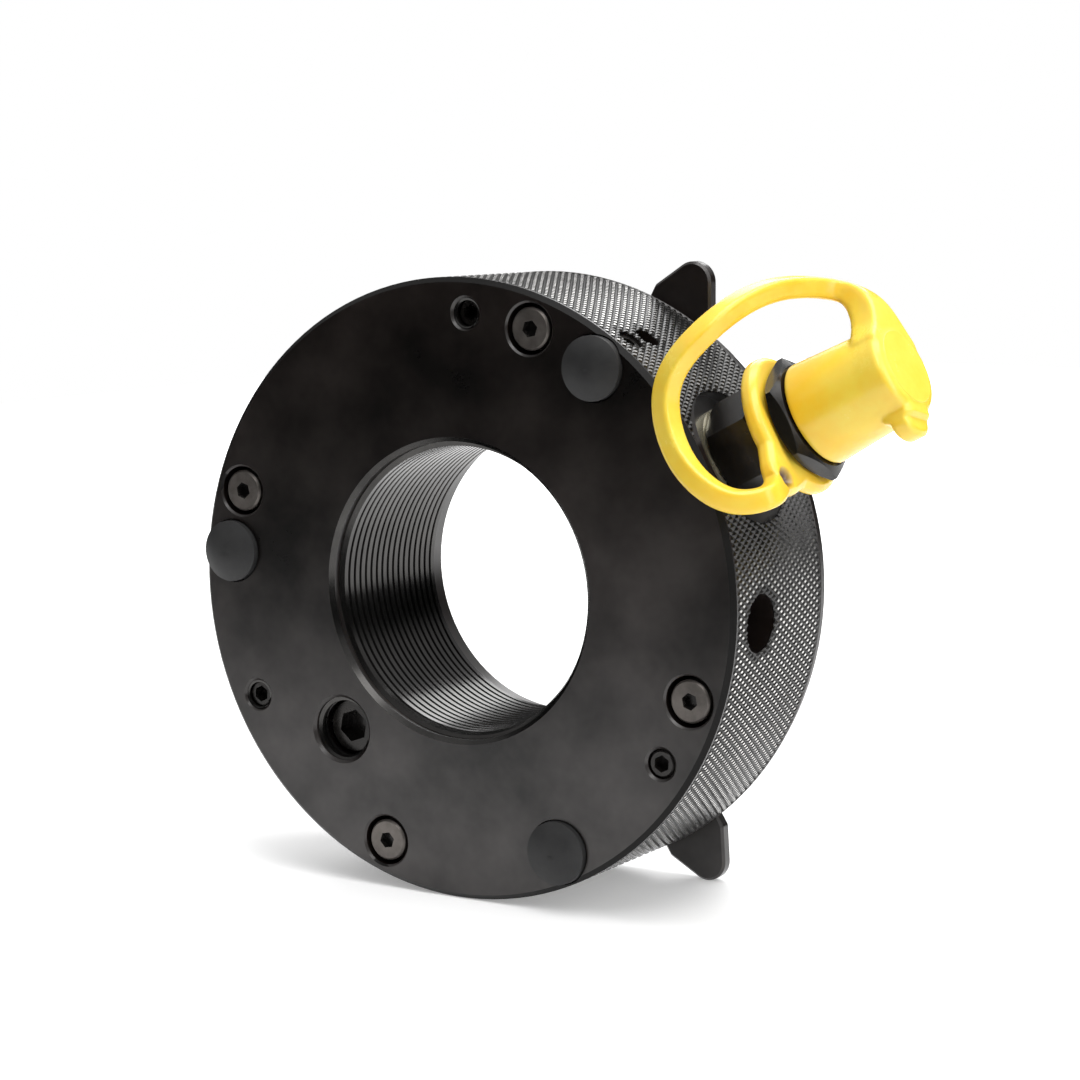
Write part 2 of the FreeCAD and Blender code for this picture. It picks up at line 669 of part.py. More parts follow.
def coupling_nipple():
    """Stud, neck, hexagon and ball-lock nose in one piece, bored for the check valve."""
    stud_r = PORT_R - FIT
    relief = stud_r - STUD_RELIEF
    lock = [HEX_TOP + z for z in LOCK_SET]
    turned_part = lathe([
        (0, NIPPLE_BASE),
        (stud_r - STUD_LEAD, NIPPLE_BASE),
        (stud_r, NIPPLE_BASE + STUD_LEAD),
        (stud_r, ADAPTER_TOP - RELIEF_LEN - EDGE),
        (relief, ADAPTER_TOP - RELIEF_LEN),
        (relief, ADAPTER_TOP),
        (NECK_R, ADAPTER_TOP),
        (NECK_R, HEX_TOP - NOSE_STEP),
        (NOSE_BASE_R, HEX_TOP - NOSE_STEP),
        (NOSE_BASE_R, lock[0]),
        (NOSE_LOCK_R, lock[1]),
        (NOSE_LOCK_R, lock[2]),
        (NOSE_TIP_R, lock[3]),
        (NOSE_TIP_R, NOSE_TOP - TIP_CHAMFER[1]),
        (NOSE_TIP_R - TIP_CHAMFER[0], NOSE_TOP),
        (0, NOSE_TOP),
    ])
    bore = lathe([
        (0, NIPPLE_BASE - 1),
        (OIL_WAY_R, NIPPLE_BASE - 1),
        (OIL_WAY_R, RETAINER_BASE),
        (VALVE_BORE_R, RETAINER_BASE),
        (VALVE_BORE_R, SEAT_BASE),
        (VALVE_MOUTH_R, NOSE_TOP - SEAT_DEPTH),
        (VALVE_MOUTH_R, NOSE_TOP - EDGE),
        (VALVE_MOUTH_R + 2 * EDGE, NOSE_TOP + EDGE),
        (0, NOSE_TOP + EDGE),
    ])
    return on_port(wrench_hex(HEX_AF, NECK_TOP, HEX_TOP).fuse(turned_part).cut(bore).removeSplitter())


def nipple_seal():
    mean_r = (PORT_R - FIT - STUD_RELIEF + SEAL_POCKET_R) / 2
    return on_port(o_ring(mean_r, ORING_R, ADAPTER_TOP - ORING_R - RUN))


def valve_poppet():
    """Pin that stands in the mouth of the nose, with a flange behind the seat and a guide stem."""
    flange_r = VALVE_BORE_R - FREE
    stem_end = RETAINER_BASE + RETAINER_LEN / 2
    pin_end = NOSE_TOP - PIN_SET
    return on_port(lathe([
        (0, stem_end),
        (VALVE_STEM_R - VALVE_LEAD, stem_end),
        (VALVE_STEM_R, stem_end + VALVE_LEAD),
        (VALVE_STEM_R, FLANGE_BASE),
        (flange_r, FLANGE_BASE),
        (flange_r, FLANGE_TOP),
        (VALVE_PIN_R, FLANGE_TOP),
        (VALVE_PIN_R, pin_end - VALVE_LEAD),
        (VALVE_PIN_R - VALVE_LEAD, pin_end),
        (0, pin_end),
    ]))


def poppet_seal():
    r = VALVE_SEAL_R
    return on_port(o_ring(VALVE_PIN_R + r + RUN, r, FLANGE_TOP + r + FIT))


def poppet_spring():
    start = RETAINER_BASE + RETAINER_LEN + FIT
    mean_r = (VALVE_STEM_R + VALVE_BORE_R - VALVE_WIRE) / 2
    spring = coil(mean_r, VALVE_WIRE, FLANGE_BASE - FIT - start, VALVE_COILS)
    spring.translate(V(0, 0, start))
    return on_port(spring)


def spring_retainer():
    """Pressed disc that guides the poppet stem, notched at the rim for the oil."""
    disc = lathe([
        (VALVE_STEM_R + RUN, RETAINER_BASE + FIT),
        (VALVE_BORE_R - FIT, RETAINER_BASE + FIT),
        (VALVE_BORE_R - FIT, RETAINER_BASE + RETAINER_LEN),
        (VALVE_STEM_R + RUN, RETAINER_BASE + RETAINER_LEN),
    ])
    for i in range(3):
        notch = Part.makeCylinder(RETAINER_NOTCH_R, RETAINER_LEN + 1, V(VALVE_BORE_R, 0, RETAINER_BASE))
        disc = disc.cut(notch.rotate(V(0, 0, 0), V(0, 0, 1), 120 * i))
    return on_port(disc)


def web(z0, outlines, thickness):
    """Moulded web of constant thickness from flat outlines that overlap."""
    solid = outlines[0].extrude(V(0, 0, thickness))
    for other in outlines[1:]:
        solid = solid.fuse(other.extrude(V(0, 0, thickness)))
    solid = solid.removeSplitter()
    solid.translate(V(0, 0, z0))
    return solid


def disc_face(r):
    return Part.Face(Part.Wire(Part.makeCircle(r)))


def tongue_face(root, flare, reach, degrees):
    """Outline that draws in from a disc to the strap's width."""
    half = STRAP_WIDTH / 2
    side = [root, flare, (reach, half)]
    points = [V(x, y, 0) for x, y in side] + [V(x, -y, 0) for x, y in reversed(side)]
    face = Part.Face(Part.makePolygon(points + [points[0]]))
    return face.rotate(V(0, 0, 0), V(0, 0, 1), degrees)


def break_edges(solid, size, z, keep_out):
    """Bevel the outline edges at one level, leaving those close to a point."""
    edges = []
    for e in solid.Edges:
        level = abs(e.BoundBox.ZMin - z) < 1e-3 and abs(e.BoundBox.ZMax - z) < 1e-3
        if level and e.CenterOfMass.distanceToPoint(keep_out) > 1.0:
            edges.append(e)
    return solid.makeChamfer(size, edges)


def strap_end(station, degrees, reach):
    a = math.radians(degrees)
    return V(reach * math.cos(a), reach * math.sin(a), station)


def cap_ring():
    z0 = RING_MID - MOULD_THK / 2
    z1 = z0 + MOULD_THK
    tongue = tongue_face(LUG_ROOT, LUG_FLARE, LUG_REACH, LUG_ANGLE)
    ring = web(z0, [disc_face(RING_OUT_R), tongue], MOULD_THK)
    for z in (z0, z1):
        ring = break_edges(ring, MOULD_EDGE, z, strap_end(z, LUG_ANGLE, LUG_REACH))
    ring = ring.cut(Part.makeCylinder(NECK_R + FREE, MOULD_THK + 2, V(0, 0, z0 - 1)))
    mark = strap_end(z1 - LUG_MARK_DEPTH, LUG_ANGLE, LUG_MARK_SET)
    ring = ring.cut(Part.makeCylinder(LUG_MARK_R, 2 * LUG_MARK_DEPTH, mark))
    return on_port(ring)


def dust_cap():
    """Tapered cup closed by a web that carries the strap's tongue and a pull tab."""
    web_base = CAP_TOP - CROWN_THK
    tongue = tongue_face(TONGUE_ROOT, TONGUE_FLARE, STRAP_REACH, STRAP_EXIT)
    tab = disc_face(TAB_R)
    tab_centre = TAB_REACH - TAB_R
    tab.translate(strap_end(0, TAB_ANGLE, tab_centre))
    sides = [V(0, -TAB_R, 0), V(tab_centre, -TAB_R, 0), V(tab_centre, TAB_R, 0), V(0, TAB_R, 0)]
    neck = Part.Face(Part.makePolygon(sides + sides[:1]))
    neck = neck.rotate(V(0, 0, 0), V(0, 0, 1), TAB_ANGLE)
    lid = web(web_base, [disc_face(CAP_END_R), tongue, tab, neck], CROWN_THK)
    for z in (web_base, CAP_TOP):
        lid = break_edges(lid, MOULD_EDGE, z, strap_end(z, STRAP_EXIT, STRAP_REACH))
    cup = lathe([
        (0, CAP_BASE),
        (CAP_OPEN_R - EDGE, CAP_BASE),
        (CAP_OPEN_R, CAP_BASE + EDGE),
        (CAP_END_R, CAP_TOP - CROWN_THK),
        (CAP_END_R - RUN, CAP_TOP - 2 * MOULD_EDGE),
        (0, CAP_TOP - 2 * MOULD_EDGE),
    ])
    cavity = lathe([
        (0, CAP_BASE - 1),
        (NOSE_BASE_R + FREE + EDGE, CAP_BASE - 1),
        (NOSE_BASE_R + FREE + EDGE, CAP_BASE),
        (NOSE_BASE_R + FREE, CAP_BASE + EDGE),
        (NOSE_BASE_R + FREE, NOSE_TOP - EDGE),
        (NOSE_BASE_R - EDGE, NOSE_TOP + FREE),
        (0, NOSE_TOP + FREE),
    ])
    disc = Part.makeCylinder(CAP_DISC_R, CAP_DISC_PROUD + EDGE, V(0, 0, CAP_TOP - EDGE))
    return on_port(lid.fuse(cup).fuse(disc).cut(cavity).removeSplitter())


def strap_section(centre, along, across):
    """Chamfered rectangle square to the strap, its width along across."""
    normal = along.cross(across).normalize()
    u = STRAP_WIDTH / 2
    w = MOULD_THK / 2
    c = STRAP_CORNER
    quarter = [(u, w - c), (u - c, w), (c - u, w), (-u, w - c)]
    outline = quarter + [(-a, -b) for a, b in quarter]
    corners = [centre + across * a + normal * b for a, b in outline]
    return Part.makePolygon(corners + [corners[0]])


def cap_strap():
    """Flexible strap from the ring's lug over to the cap's tongue."""
    leave = strap_end(0, LUG_ANGLE, 1)
    arrive = strap_end(0, STRAP_EXIT, -1)
    start = strap_end(RING_MID, LUG_ANGLE, LUG_REACH + RUN)
    finish = strap_end(CAP_WEB_MID, STRAP_EXIT, STRAP_REACH + RUN)
    route = Part.BSplineCurve()
    route.interpolate([start] + [V(x, y, RING_MID + z) for z, x, y in STRAP_ROUTE] + [finish])
    step = (route.LastParameter - route.FirstParameter) / STRAP_STATIONS
    stations = [route.FirstParameter + step * i for i in range(STRAP_STATIONS + 1)]
    along = [route.tangent(t)[0] for t in stations]
    along[0] = leave
    along[-1] = arrive
    # The section is carried along without twist, then turned evenly so that it meets the tongue flat
    carried = [V(0, 0, 1).cross(leave).normalize()]
    for here, there in zip(along, along[1:]):
        carried.append(FreeCAD.Rotation(here, there).multVec(carried[-1]))
    goal = V(0, 0, 1).cross(arrive).normalize()
    twist = math.degrees(math.atan2(along[-1].dot(carried[-1].cross(goal)), carried[-1].dot(goal)))
    twist = (twist + 90) % 180 - 90
    sections = []
    for i, t in enumerate(stations):
        across = FreeCAD.Rotation(along[i], twist * i / STRAP_STATIONS).multVec(carried[i])
        sections.append(strap_section(route.value(t), along[i], across))
    return on_port(Part.makeLoft(sections, True, True))


PIECES = {
    "nut_body": nut_body,
    "annular_piston": annular_piston,
    "piston_outer_seal": lambda: lip_seal(CHAMBER_OUT_R, CHAMBER_OUT_R - RUN - GROOVE_DEPTH),
    "piston_inner_seal": lambda: lip_seal(CHAMBER_IN_R, CHAMBER_IN_R + RUN + GROOVE_DEPTH),
    "outer_backup_ring": lambda: backup_ring(CHAMBER_OUT_R, CHAMBER_OUT_R - RUN - GROOVE_DEPTH),
    "inner_backup_ring": lambda: backup_ring(CHAMBER_IN_R, CHAMBER_IN_R + RUN + GROOVE_DEPTH),
    "thrust_plate": thrust_plate,
    "return_screws": return_screws,
    "return_springs": return_springs,
    "rubber_feet": rubber_feet,
    "face_set_screws": face_set_screws,
    "side_set_screws": side_set_screws,
    "port_plug": port_plug,
    "plug_washer": plug_washer,
    "port_washer": port_washer,
    "washer_seal": washer_seal,
    "port_adapter": port_adapter,
    "coupling_nipple": coupling_nipple,
    "nipple_seal": nipple_seal,
    "valve_poppet": valve_poppet,
    "poppet_seal": poppet_seal,
    "poppet_spring": poppet_spring,
    "spring_retainer": spring_retainer,
    "cap_ring": cap_ring,
    "cap_strap": cap_strap,
    "dust_cap": dust_cap,
}

for name, make in PIECES.items():
    make().exportStep("parts/" + name + ".step")
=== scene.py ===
import math

import bpy
import numpy as np
from mathutils import Matrix, Vector

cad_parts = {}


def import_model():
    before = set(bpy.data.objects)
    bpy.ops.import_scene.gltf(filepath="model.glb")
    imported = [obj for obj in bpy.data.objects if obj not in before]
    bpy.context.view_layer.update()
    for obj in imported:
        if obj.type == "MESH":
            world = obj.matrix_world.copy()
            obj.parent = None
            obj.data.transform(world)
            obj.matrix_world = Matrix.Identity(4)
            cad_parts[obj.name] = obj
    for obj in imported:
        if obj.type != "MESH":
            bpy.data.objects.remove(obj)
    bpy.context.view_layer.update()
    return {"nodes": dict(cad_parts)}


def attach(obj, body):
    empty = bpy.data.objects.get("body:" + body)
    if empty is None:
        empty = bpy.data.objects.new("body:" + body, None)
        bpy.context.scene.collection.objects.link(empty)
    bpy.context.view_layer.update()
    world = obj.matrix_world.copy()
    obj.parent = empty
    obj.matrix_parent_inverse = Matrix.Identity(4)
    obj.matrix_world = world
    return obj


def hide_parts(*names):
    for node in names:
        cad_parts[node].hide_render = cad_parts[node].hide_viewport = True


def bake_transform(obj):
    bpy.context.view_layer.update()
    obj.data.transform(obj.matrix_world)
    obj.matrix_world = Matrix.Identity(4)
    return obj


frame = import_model()

MM = 0.001
FRONT = -19.25
REAR = 19.25
NUT_R = 62.5
BORE_R = 30.0
PITCH_R = 55.5
FRONT_CHAMFER = 1.6
RETURN_SCREW_ANGLES = [72 + 90 * k for k in range(4)]
FACE_SCREWS = ((87.4, 2.0), (207.4, 1.2), (327.4, 0.5))
FRONT_PORT_R = 41.6
FRONT_PORT_ANGLE = 227.6
SIDE_PORT_ANGLE = 27.9
SIDE_PORT_Y = -1.75
SPOT_R = 14.1
TOMMY_R = 5.8
TOMMY_ANGLES = [-2.6 + 120 * k for k in range(3)]
TOMMY_Y = FRONT + 11.5
RIM_SCREW_R = 2.6
RIM_SCREW_ANGLE = 55.0
RIM_SCREW_AT = (FRONT + 7.3, FRONT + 13.9)

PORT_A = math.radians(SIDE_PORT_ANGLE)
OUT = Vector((math.cos(PORT_A), 0, math.sin(PORT_A)))
UP = Vector((-math.sin(PORT_A), 0, math.cos(PORT_A)))
TO_FRONT = Vector((0, -1, 0))
PORT_ORIGIN = Vector((0, SIDE_PORT_Y, 0))


# Helpers

def mesh_object(name, verts, faces, material, body=None, smooth=False):
    """Object from points in millimetres in the row frame."""
    mesh = bpy.data.meshes.new(name)
    mesh.from_pydata([tuple(c * MM for c in v) for v in verts], [], faces)
    mesh.update()
    if smooth:
        mesh.polygons.foreach_set("use_smooth", [True] * len(mesh.polygons))
    mesh.materials.append(material)
    obj = bpy.data.objects.new(name, mesh)
    bpy.context.scene.collection.objects.link(obj)
    if body:
        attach(obj, body)
    return obj


def port_point(v, w, u):
    """Row-frame point from port coordinates: up the rim, to the front, outwards."""
    p = UP * v + TO_FRONT * w + OUT * u
    return Vector((p.x, p.y + SIDE_PORT_Y, p.z))


def rim_point(theta, y, r):
    return (r * math.cos(theta), y, r * math.sin(theta))


# Materials

FINE_GRAIN = 1500.0
FINE_SHARE = 0.15


def new_material(name):
    mat = bpy.data.materials.new(name)
    mat.use_nodes = True
    return mat, mat.node_tree.nodes, mat.node_tree.links, mat.node_tree.nodes["Principled BSDF"]


def ramp_from(nodes, links, source, stops):
    ramp = nodes.new("ShaderNodeValToRGB")
    while len(ramp.color_ramp.elements) < len(stops):
        ramp.color_ramp.elements.new(0.5)
    for element, (at, colour) in zip(ramp.color_ramp.elements, stops):
        element.position = at
        element.color = (*colour, 1)
    links.new(source, ramp.inputs[0])
    return ramp.outputs[0]


def surface(name, dark, light, rough, metallic=0.0, patch=60.0, bump=0.04, spec=0.5, subsurface=0.0,
            recess_shade=None, smoke=0.0):
    """Principled surface whose colour and roughness drift in patches, with a fine grain.

    A recess shade is a centre, a reach and a tint: painted shade that turns the colour to the tint near the
    centre. Smoke is how far the sheen drifts either way.
    """
    mat, nodes, links, shader = new_material(name)
    where = nodes.new("ShaderNodeTexCoord").outputs["Object"]
    broad = nodes.new("ShaderNodeTexNoise")
    broad.inputs["Scale"].default_value = patch
    broad.inputs["Detail"].default_value = 5
    broad.inputs["Roughness"].default_value = 0.6
    links.new(where, broad.inputs["Vector"])
    colour = ramp_from(nodes, links, broad.outputs["Fac"], [(0.3, dark), (0.72, light)])
    # Painted shade: towards the centre the colour goes over to the tint
    if recess_shade:
        centre, reach, tint = recess_shade
        away = nodes.new("ShaderNodeVectorMath")
        away.operation = "DISTANCE"
        away.inputs[1].default_value = centre
        links.new(where, away.inputs[0])
        fade = nodes.new("ShaderNodeMapRange")
        fade.inputs["From Min"].default_value = reach * 0.5
        fade.inputs["From Max"].default_value = reach
        links.new(away.outputs["Value"], fade.inputs["Value"])
        both = nodes.new("ShaderNodeMixRGB")
        both.inputs["Color1"].default_value = (*tint, 1)
        links.new(fade.outputs[0], both.inputs["Fac"])
        links.new(colour, both.inputs["Color2"])
        colour = both.outputs[0]
    links.new(colour, shader.inputs["Base Color"])
    fine = nodes.new("ShaderNodeTexNoise")
    fine.inputs["Scale"].default_value = FINE_GRAIN
    fine.inputs["Detail"].default_value = 3
    links.new(where, fine.inputs["Vector"])
    span = nodes.new("ShaderNodeMapRange")
    span.inputs["To Min"].default_value = rough[0]
    span.inputs["To Max"].default_value = rough[1]
    mixed = nodes.new("ShaderNodeMath")
    mixed.operation = "MULTIPLY_ADD"
    mixed.inputs[1].default_value = FINE_SHARE
    links.new(fine.outputs["Fac"], mixed.inputs[0])
    scaled = nodes.new("ShaderNodeMath")
    scaled.operation = "MULTIPLY"
    scaled.inputs[1].default_value = 1 - FINE_SHARE
    links.new(broad.outputs["Fac"], scaled.inputs[0])
    links.new(scaled.outputs[0], mixed.inputs[2])
    links.new(mixed.outputs[0], span.inputs["Value"])
    links.new(span.outputs[0], shader.inputs["Roughness"])
    shader.inputs["Metallic"].default_value = metallic
    shader.inputs["Specular IOR Level"].default_value = spec
    if smoke:
        haze = nodes.new("ShaderNodeMapRange")
        haze.inputs["From Min"].default_value = 0.35
        haze.inputs["From Max"].default_value = 0.68
        haze.inputs["To Min"].default_value = spec * (1 - smoke)
        haze.inputs["To Max"].default_value = spec * (1 + smoke)
        links.new(broad.outputs["Fac"], haze.inputs["Value"])
        links.new(haze.outputs[0], shader.inputs["Specular IOR Level"])
    if subsurface:
        shader.inputs["Subsurface Weight"].default_value = subsurface
        shader.inputs["Subsurface Radius"].default_value = (0.004, 0.0022, 0.0004)
        shader.inputs["Subsurface Scale"].default_value = 1.0
    if bump:
        rise = nodes.new("ShaderNodeBump")
        rise.inputs["Strength"].default_value = bump
        rise.inputs["Distance"].default_value = 0.0002
        links.new(fine.outputs["Fac"], rise.inputs["Height"])
        links.new(rise.outputs[0], shader.inputs["Normal"])
    return mat


BLACK = surface("black_oxide", (0.0018, 0.0015, 0.0014), (0.0170, 0.0112, 0.0092), (0.20, 0.42), 0.2,
                patch=30, bump=0.0, spec=0.70, smoke=0.38)
EDGE_BLACK = surface("black_oxide_edge", (0.0022, 0.0020, 0.0019), (0.005, 0.0046, 0.0043), (0.34, 0.46),
                     bump=0.0, spec=0.12)
SOCKET = surface("set_screw_black", (0.006, 0.0055, 0.005), (0.030, 0.027, 0.025), (0.16, 0.34), 0.5,
                 patch=300, bump=0.06)
KNURL = surface("black_oxide_knurl", (0.010, 0.0097, 0.0093), (0.028, 0.027, 0.026), (0.24, 0.38), 0.6,
                patch=80, bump=0.03)
CREST = surface("worn_crest", (0.30, 0.295, 0.285), (0.66, 0.65, 0.63), (0.22, 0.36), 1.0,
                patch=160, bump=0.02)
THREAD = surface("black_oxide_thread", (0.034, 0.033, 0.032), (0.056, 0.054, 0.052), (0.15, 0.25), 0.9,
                 patch=120, bump=0.0)
SCREW = surface("screw_black", (0.075, 0.067, 0.061), (0.15, 0.135, 0.123), (0.30, 0.48), 0.7,
                patch=300, bump=0.08)
ADAPTER = surface("adapter_steel", (0.010, 0.009, 0.0085), (0.040, 0.037, 0.034), (0.16, 0.32), 0.6,
                  patch=180, bump=0.05)
HEX = surface("nipple_steel", (0.012, 0.0115, 0.011), (0.040, 0.038, 0.036), (0.16, 0.30), 0.6,
              patch=180, bump=0.06)
STEEL = surface("bright_steel", (0.48, 0.48, 0.47), (0.62, 0.62, 0.60), (0.18, 0.32), 1.0,
                patch=200, bump=0.03)
ZINC = surface("zinc_steel", (0.55, 0.50, 0.34), (0.82, 0.78, 0.62), (0.20, 0.34), 0.8,
               patch=180, bump=0.03)
COPPER = surface("copper_washer", (0.55, 0.26, 0.14), (0.75, 0.40, 0.24), (0.25, 0.40), 1.0, patch=200)
RUBBER = surface("black_rubber", (0.016, 0.016, 0.0165), (0.027, 0.0268, 0.027), (0.50, 0.62),
                 patch=200, bump=0.05, spec=0.3)
PTFE = surface("seal_plastic", (0.70, 0.66, 0.54), (0.80, 0.76, 0.64), (0.4, 0.55), patch=150)
LUG_ANGLE = math.radians(125)
DIMPLE_OFF = 17.0
DIMPLE = port_point(DIMPLE_OFF * math.cos(LUG_ANGLE), DIMPLE_OFF * math.sin(LUG_ANGLE), 75.0)
# Painted shade: the yellow turns dark brown in the lug's dimple, where the recess is shaded
YELLOW = surface("yellow_plastic", (0.93, 0.55, 0.026), (0.93, 0.73, 0.10), (0.20, 0.32),
                 patch=70, bump=0.02, subsurface=0.12, recess_shade=(DIMPLE * MM, 0.0025, (0.10, 0.05, 0.03)))

MATERIAL_OF = {
    "nut_body": BLACK, "thrust_plate": BLACK, "annular_piston": STEEL,
    "piston_outer_seal": RUBBER, "piston_inner_seal": RUBBER,
    "outer_backup_ring": PTFE, "inner_backup_ring": PTFE,
    "return_screws": SCREW, "return_springs": STEEL, "rubber_feet": RUBBER,
    "face_set_screws": SOCKET, "side_set_screws": SOCKET, "port_plug": SOCKET,
    "plug_washer": COPPER, "port_washer": ZINC, "washer_seal": RUBBER,
    "port_adapter": ADAPTER, "coupling_nipple": HEX, "nipple_seal": RUBBER,
    "valve_poppet": STEEL, "poppet_seal": RUBBER, "poppet_spring": STEEL, "spring_retainer": STEEL,
    "cap_ring": YELLOW, "cap_strap": YELLOW, "dust_cap": YELLOW,
}
for node, obj in frame["nodes"].items():
    obj.data.materials.clear()
    obj.data.materials.append(MATERIAL_OF[node])

# Painted shade: the sockets of the return screws take the darker set-screw black, as shade inside the recess
SOCKET_REACH = 2.2
SOCKET_BELOW = 0.1
screw_axes = [(PITCH_R * math.cos(math.radians(a)), PITCH_R * math.sin(math.radians(a)))
              for a in RETURN_SCREW_ANGLES]
screws = frame["nodes"]["return_screws"]
screws.data.materials.append(SOCKET)
heads = [screws.matrix_world @ v.co / MM for v in screws.data.vertices]
head_top = min(v.y for v in heads)
for poly in screws.data.polygons:
    at = screws.matrix_world @ poly.center / MM
    off = min(math.hypot(at.x - x, at.z - z) for x, z in screw_axes)
    if off < SOCKET_REACH and at.y > head_top + SOCKET_BELOW:
        poly.material_index = 1

# The front chamfer is duller than the face, and the bore's chamfer shines like the thread
body = frame["nodes"]["nut_body"]
body.data.materials.append(EDGE_BLACK)
body.data.materials.append(THREAD)
for poly in body.data.polygons:
    at = body.matrix_world @ poly.center / MM
    if at.y < FRONT + FRONT_CHAMFER and -0.95 < poly.normal.y < -0.2:
        reach = math.hypot(at.x, at.z)
        poly.material_index = 1 if reach > NUT_R - 2 else 2 if reach < BORE_R + 3 else 0


# Knurled rim

KNURL_PITCH = 1.32
KNURL_HELIX = math.radians(30)
ROOT_R = 62.16
CREST_R = 62.5
KNURL_FROM = FRONT + 1.3
KNURL_TO = REAR - 1.25
CREST_SHARE = 0.42
SPOT_RUN_OUT = 2.4
RIM_HOLES = [(SIDE_PORT_ANGLE, SIDE_PORT_Y, SPOT_R)]
RIM_HOLES += [(angle, TOMMY_Y, TOMMY_R) for angle in TOMMY_ANGLES]
RIM_HOLES += [(RIM_SCREW_ANGLE, y, RIM_SCREW_R) for y in RIM_SCREW_AT]


def knurl():
    """Diamond knurl of flat-topped pyramids, trimmed round each hole of the rim."""
    count = round(2 * math.pi * NUT_R * math.cos(KNURL_HELIX) / KNURL_PITCH)
    across = 2 * math.pi / count
    tall = across * NUT_R / math.tan(KNURL_HELIX)
    verts, faces, crests = [], [], []
    holes = [(math.radians(a), y, r) for a, y, r in RIM_HOLES]

    def add(points):
        first = len(verts)
        verts.extend(points)
        return first

    def near(theta, y, margin):
        """Hole that a point of the rim lies in. The spot face runs out further towards the front."""
        for h in holes:
            turn = (theta - h[0] + math.pi) % (2 * math.pi) - math.pi
            if abs(turn) < 0.4:
                d = math.hypot(NUT_R * math.sin(turn), y - h[1])
                edge = h[2]
                if h[2] == SPOT_R and y < h[1]:
                    edge += SPOT_RUN_OUT * ((h[1] - y) / max(d, 1e-6)) ** 3
                if d < edge + margin:
                    return (h[0], h[1], edge), turn, d
        return None

    def patch(theta, yc):
        """Diamond in small cells, drawn back to a hole's edge or the end of the band."""
        n = 6
        grid, inside = [], []
        for i in range(n + 1):
            for j in range(n + 1):
                u, v = 2 * i / n - 1, 2 * j / n - 1
                h = min(1 - max(abs(u), abs(v)), 1 - CREST_SHARE) / (1 - CREST_SHARE)
                t = theta + (u + v) / 2 * across / 2
                y = yc + (u - v) / 2 * tall / 2
                out = False
                hit = near(t, y, 0)
                if hit:
                    (ha, hy, hr), turn, d = hit
                    grow = hr / max(d, 1e-6)
                    t = ha + math.asin(max(-1, min(1, math.sin(turn) * grow)))
                    y = hy + (y - hy) * grow
                    out = True
                if y < KNURL_FROM or y > KNURL_TO:
                    y = min(max(y, KNURL_FROM), KNURL_TO)
                    out = True
                grid.append(rim_point(t, y, ROOT_R + (0 if out else (CREST_R - ROOT_R) * h)))
                inside.append(out)
        first = add(grid)
        for i in range(n):
            for j in range(n):
                ids = [i * (n + 1) + j, (i + 1) * (n + 1) + j, (i + 1) * (n + 1) + j + 1, i * (n + 1) + j + 1]
                if not all(inside[k] for k in ids):
                    faces.append([first + k for k in ids])

    rows = int((KNURL_TO - KNURL_FROM) / tall) + 3
    for half in (0, 1):
        for j in range(-1, rows):
            yc = KNURL_FROM + (j + 0.5 * half) * tall
            if yc < KNURL_FROM - tall / 2 or yc > KNURL_TO + tall / 2:
                continue
            for i in range(count):
                theta = (i + 0.5 * half) * across
                hit = near(theta, yc, tall / 2 + 0.1)
                if hit and hit[2] < hit[0][2] - tall:
                    continue
                edge = yc - tall / 2 < KNURL_FROM or yc + tall / 2 > KNURL_TO
                if hit or edge:
                    patch(theta, yc)
                    continue
                ring = []
                for share, r in ((1.0, ROOT_R), (CREST_SHARE, CREST_R)):
                    for p, q in ((1, 0), (0, 1), (-1, 0), (0, -1)):
                        ring.append(rim_point(theta + p * across / 2 * share, yc + q * tall / 2 * share, r))
                k = add(ring)
                for a, b in ((0, 1), (1, 2), (2, 3), (3, 0)):
                    faces.append([k + a, k + b, k + 4 + b, k + 4 + a])
                faces.append([k + 4, k + 5, k + 6, k + 7])
                crests.append(len(faces) - 1)
    obj = mesh_object("knurled_rim", verts, faces, KNURL, "housing")
    obj.data.materials.append(CREST)
    for k in crests:
        obj.data.polygons[k].material_index = 1


knurl()


# Threads

def inner_thread(name, centre, axis, major, minor, pitch, length, material, steps=72, fade=0.7):
    """Right-hand internal thread along an axis from a centre point, faded out at both ends."""
    axis = Vector(axis).normalized()
    side = axis.cross(Vector((0.3, 0.5, 0.8))).normalized()
    other = axis.cross(side)
    profile = ((0.0, 0.0), (0.07, 0.0), (0.25, 1.0), (0.84, 1.0), (1.0, 0.0))
    total = int((length / pitch - 1) * steps)
    verts, faces = [], []
    for (low, a), (high, b) in zip(profile, profile[1:]):
        first = len(verts)
        for i in range(total + 1):
            turn = 2 * math.pi * i / steps
            spoke = side * math.cos(turn) + other * math.sin(turn)
            for share, tall in ((low, a), (high, b)):
                z = pitch * (i / steps + share)
                ease_in = max(0.0, min(1.0, z / (fade * pitch), (length - z) / (fade * pitch)))
                verts.append(Vector(centre) + axis * z + spoke * (major - (major - minor) * tall * ease_in))
        for i in range(total):
            k = first + 2 * i
            faces.append([k, k + 1, k + 3, k + 2])
    return mesh_object(name, verts, faces, material, "housing", smooth=True)


def face_point(radius, degrees, y):
    a = math.radians(degrees)
    return Vector((radius * math.cos(a), y, radius * math.sin(a)))


